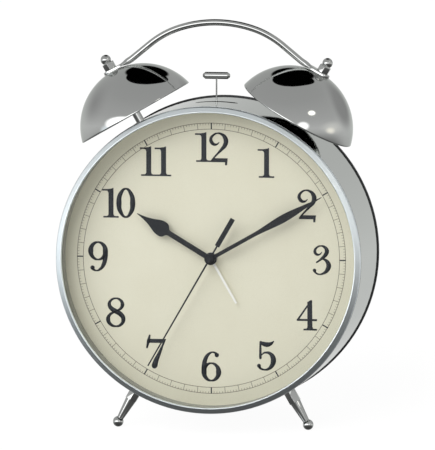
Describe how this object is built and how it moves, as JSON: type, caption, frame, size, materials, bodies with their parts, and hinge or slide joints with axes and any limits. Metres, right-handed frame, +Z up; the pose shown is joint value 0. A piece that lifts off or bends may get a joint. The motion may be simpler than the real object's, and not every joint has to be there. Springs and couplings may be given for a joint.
{
  "type": "twin bell alarm clock",
  "caption": "Round drum-cased alarm clock on two turned legs, with paired domed bells, a swinging hammer between them, a carrying handle and a glazed numbered dial.",
  "frame": {"origin": "middle of the clock's box, on the surface that it stands on", "axes": "+Z up, +Y from the dial towards the back, +X to the right as seen from the front; the clock leans back on its feet and rear rim"},
  "size_m": [0.153, 0.0872, 0.1956],
  "materials": {
    "chrome": "bright chrome plate",
    "bezel_metal": "fine brushed ring",
    "glass": "clear flat glass",
    "wall_ring": "satin grey",
    "dial_print": "cream lacquer with dark print",
    "hand_black": "satin black lacquer",
    "hand_white": "white lacquer",
    "black_plastic": "fine moulded texture",
    "grey_plastic": "moulded",
    "white_plastic": "moulded wheel plastic",
    "steel": "bright zinc plate",
    "magnet": "pressed magnet",
    "copper": "enamelled copper wire",
    "board_green": "solder mask",
    "cell_wrap": "plain wrap"
  },
  "bodies": {
    "root": {"case": "chrome", "bezel": "bezel_metal", "lens": "glass", "dial_ring": "wall_ring", "dial": "dial_print", "dial_carrier": "grey_plastic", "movement_case": "grey_plastic", "movement_bridge": "grey_plastic", "movement_cover": "grey_plastic", "movement_screws": "steel", "stator": "steel", "motor_coil": "copper", "circuit_board": "board_green", "back_cover": "black_plastic", "cover_tabs": "steel", "cover_screws": "steel", "upper_cell": "cell_wrap", "lower_cell": "cell_wrap", "battery_contacts": "steel", "switch_body": "grey_plastic", "bell_left": "chrome", "bell_right": "chrome", "bell_post_left": "chrome", "bell_post_right": "chrome", "bell_nuts": "chrome", "stud_nuts": "steel", "handle": "chrome", "leg_left": "chrome", "leg_right": "chrome", "hammer_pin": "steel", "hammer_bracket": "grey_plastic", "coil_core": "steel", "coil_bobbin": "grey_plastic", "coil_winding": "copper"},
    "minute": {"minute_hand": "hand_black", "minute_pipe": "white_plastic"},
    "hour": {"hour_hand": "hand_black", "hour_wheel": "white_plastic"},
    "setting": {"setting_wheel": "white_plastic", "time_knob": "black_plastic"},
    "alarm": {"alarm_hand": "hand_white", "alarm_wheel": "white_plastic"},
    "alarm_setting": {"alarm_pinion": "white_plastic", "alarm_knob": "black_plastic"},
    "second": {"second_hand": "hand_black", "second_wheel": "white_plastic"},
    "rotor": {"rotor": "magnet"},
    "hammer": {"hammer_head": "chrome", "hammer_rod": "chrome", "hammer_rocker": "grey_plastic", "hammer_armature": "steel"},
    "switch": {"alarm_switch": "black_plastic"},
    "door": {"battery_door": "black_plastic"}
  },
  "joints": [
    {"name": "minute_hand_turn", "type": "hinge", "parent": "root", "child": "minute", "pos_m": [0, -0.01481, 0.08374], "axis": [0, 0.9805, -0.1964], "continuous": true},
    {"name": "hour_hand_turn", "type": "hinge", "parent": "root", "child": "hour", "pos_m": [0, -0.01481, 0.08374], "axis": [0, 0.9805, -0.1964], "continuous": true},
    {"name": "time_set_turn", "type": "hinge", "parent": "root", "child": "setting", "pos_m": [0.012, -0.01481, 0.08374], "axis": [0, 0.9805, -0.1964], "continuous": true},
    {"name": "alarm_hand_turn", "type": "hinge", "parent": "root", "child": "alarm", "pos_m": [0, -0.01481, 0.08374], "axis": [0, 0.9805, -0.1964], "continuous": true},
    {"name": "alarm_set_turn", "type": "hinge", "parent": "root", "child": "alarm_setting", "pos_m": [-0.0135, -0.01481, 0.08374], "axis": [0, 0.9805, -0.1964], "continuous": true},
    {"name": "second_hand_turn", "type": "hinge", "parent": "root", "child": "second", "pos_m": [0, -0.01481, 0.08374], "axis": [0, 0.9805, -0.1964], "continuous": true},
    {"name": "rotor_turn", "type": "hinge", "parent": "root", "child": "rotor", "pos_m": [0, -0.01304, 0.09256], "axis": [0, 0.9805, -0.1964], "continuous": true},
    {"name": "hammer_swing", "type": "hinge", "parent": "root", "child": "hammer", "pos_m": [0, 0.00756, 0.12515], "axis": [0, 0.9805, -0.1964], "range_deg": [-10.8, 10.8], "stiffness_Nm_per_rad": 0.004},
    {"name": "alarm_switch_slide", "type": "slide", "parent": "root", "child": "switch", "axis": [1, 0, 0], "range_m": [0, 0.005]},
    {"name": "battery_door_pull", "type": "slide", "parent": "root", "child": "door", "axis": [0, 0.9805, -0.1964], "range_m": [0, 0.03]}
  ],
  "couplings": [
    {"joint": "hour_hand_turn", "follows": "minute_hand_turn", "ratio": 0.083333},
    {"joint": "time_set_turn", "follows": "minute_hand_turn", "ratio": -0.33333},
    {"joint": "alarm_set_turn", "follows": "alarm_hand_turn", "ratio": -2},
    {"joint": "rotor_turn", "follows": "second_hand_turn", "ratio": -5}
  ]
}
